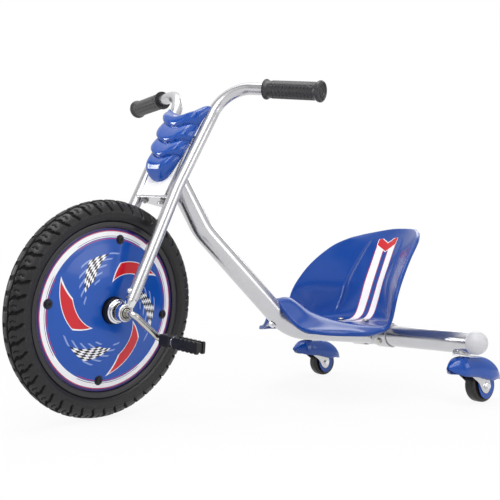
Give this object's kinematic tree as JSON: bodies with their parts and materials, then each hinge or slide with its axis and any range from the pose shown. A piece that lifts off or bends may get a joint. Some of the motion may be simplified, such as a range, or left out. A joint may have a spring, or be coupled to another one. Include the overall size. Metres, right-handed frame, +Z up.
{
  "type": "drift trike",
  "caption": "Ride-on trike with a pedalled front wheel, a bent tube frame, a low bucket seat and swivelling rear casters that let the tail drift.",
  "frame": {"origin": "on the floor, under the middle of the part's own box", "axes": "+X forwards, the way the front wheel rolls when steered straight; +Y to the rider's left; +Z up"},
  "size_m": [0.9806, 0.6506, 0.6822],
  "materials": {
    "tyre_rubber": "matt, ribbed tread",
    "tube_rubber": "matt",
    "rim_steel": "satin dark grey",
    "web_metal": "painted dark grey",
    "hub_metal": "satin black, knurled",
    "cover_blue": "glossy blue with white and red rings and plain shapes",
    "bolt_black": "black",
    "bright_steel": "bright zinc plate",
    "bearing_steel": "satin",
    "pedal_plastic": "matt black",
    "silver_paint": "glossy silver",
    "cup_chrome": "polished",
    "grip_rubber": "matt dark grey, ribbed",
    "panel_white": "smooth pale silver",
    "cap_plastic": "pale grey",
    "plate_blue": "glossy blue",
    "seat_blue": "glossy dark blue with plain stripes",
    "hood_blue": "glossy blue",
    "caster_rubber": "matt"
  },
  "bodies": {
    "frame": {"head_tube": "silver_paint", "bearing_cup_lower": "cup_chrome", "bearing_cup_upper": "cup_chrome", "main_tube": "silver_paint", "crossbar": "silver_paint", "bar_saddle": "silver_paint", "saddle_bolt_left": "bolt_black", "saddle_bolt_right": "bolt_black", "end_cap_left": "cap_plastic", "end_cap_right": "cap_plastic", "seat": "seat_blue", "seat_bolt_left": "bright_steel", "seat_bolt_right": "bright_steel", "seat_front_bolt": "bright_steel", "caster_mount_left": "cup_chrome", "caster_mount_right": "cup_chrome"},
    "front_fork": {"fork_tube_left": "silver_paint", "fork_tube_right": "silver_paint", "grip_left": "grip_rubber", "grip_right": "grip_rubber", "axle_bracket_left": "silver_paint", "axle_bracket_right": "silver_paint", "axle_bearing_left": "bearing_steel", "axle_bearing_right": "bearing_steel", "bracket_bolt_left": "bright_steel", "bracket_bolt_right": "bright_steel", "crown_lower": "silver_paint", "crown_upper": "silver_paint", "crown_panel": "panel_white", "steerer": "silver_paint", "crown_bolt_left": "bright_steel", "crown_bolt_right": "bright_steel", "number_plate": "plate_blue"},
    "front_wheel": {"front_tyre": "tyre_rubber", "inner_tube": "tube_rubber", "front_rim": "rim_steel", "wheel_web": "web_metal", "hub_shell": "hub_metal", "cover_bolt_1": "bolt_black", "cover_bolt_2": "bolt_black", "cover_bolt_3": "bolt_black", "cover_bolt_4": "bolt_black", "crank_axle": "bright_steel", "disc_cover_left": "cover_blue", "disc_cover_right": "cover_blue", "hub_nut_left": "bright_steel", "hub_nut_right": "bright_steel"},
    "pedal_left": {"pedal_sleeve_left": "pedal_plastic", "pedal_grip_left": "pedal_plastic"},
    "pedal_right": {"pedal_sleeve_right": "pedal_plastic", "pedal_grip_right": "pedal_plastic"},
    "caster_left": {"caster_fork_left": "silver_paint", "caster_cover_left": "hood_blue", "caster_axle_left": "bright_steel"},
    "caster_right": {"caster_fork_right": "silver_paint", "caster_cover_right": "hood_blue", "caster_axle_right": "bright_steel"},
    "caster_wheel_left": {"caster_wheel_left": "caster_rubber"},
    "caster_wheel_right": {"caster_wheel_right": "caster_rubber"}
  },
  "joints": [
    {"name": "steering", "type": "hinge", "parent": "frame", "child": "front_fork", "pos_m": [0.25367, 0, 0.18674], "axis": [-0.3535, 0, 0.9354], "range_deg": [-62.3, 27.7]},
    {"name": "front_wheel_spin", "type": "hinge", "parent": "front_fork", "child": "front_wheel", "pos_m": [0.29475, 0.01368, 0.20226], "axis": [-0.2782, 0.9548, -0.1051], "continuous": true},
    {"name": "pedal_left_spin", "type": "hinge", "parent": "front_wheel", "child": "pedal_left", "pos_m": [0.22988, -0.01046, 0.15466], "axis": [-0.2782, 0.9548, -0.1051], "continuous": true},
    {"name": "pedal_right_spin", "type": "hinge", "parent": "front_wheel", "child": "pedal_right", "pos_m": [0.35961, 0.03782, 0.24986], "axis": [-0.2782, 0.9548, -0.1051], "continuous": true},
    {"name": "caster_left_swivel", "type": "hinge", "parent": "frame", "child": "caster_left", "pos_m": [-0.3803, 0.2669, 0.1266], "axis": [-0.1392, 0, 0.9903], "continuous": true},
    {"name": "caster_wheel_left_spin", "type": "hinge", "parent": "caster_left", "child": "caster_wheel_left", "pos_m": [-0.4309, 0.2669, 0.0347], "axis": [0, 1, 0], "continuous": true},
    {"name": "caster_right_swivel", "type": "hinge", "parent": "frame", "child": "caster_right", "pos_m": [-0.3803, -0.2669, 0.1266], "axis": [-0.1392, 0, 0.9903], "continuous": true},
    {"name": "caster_wheel_right_spin", "type": "hinge", "parent": "caster_right", "child": "caster_wheel_right", "pos_m": [-0.4309, -0.2669, 0.0347], "axis": [0, 1, 0], "continuous": true}
  ]
}
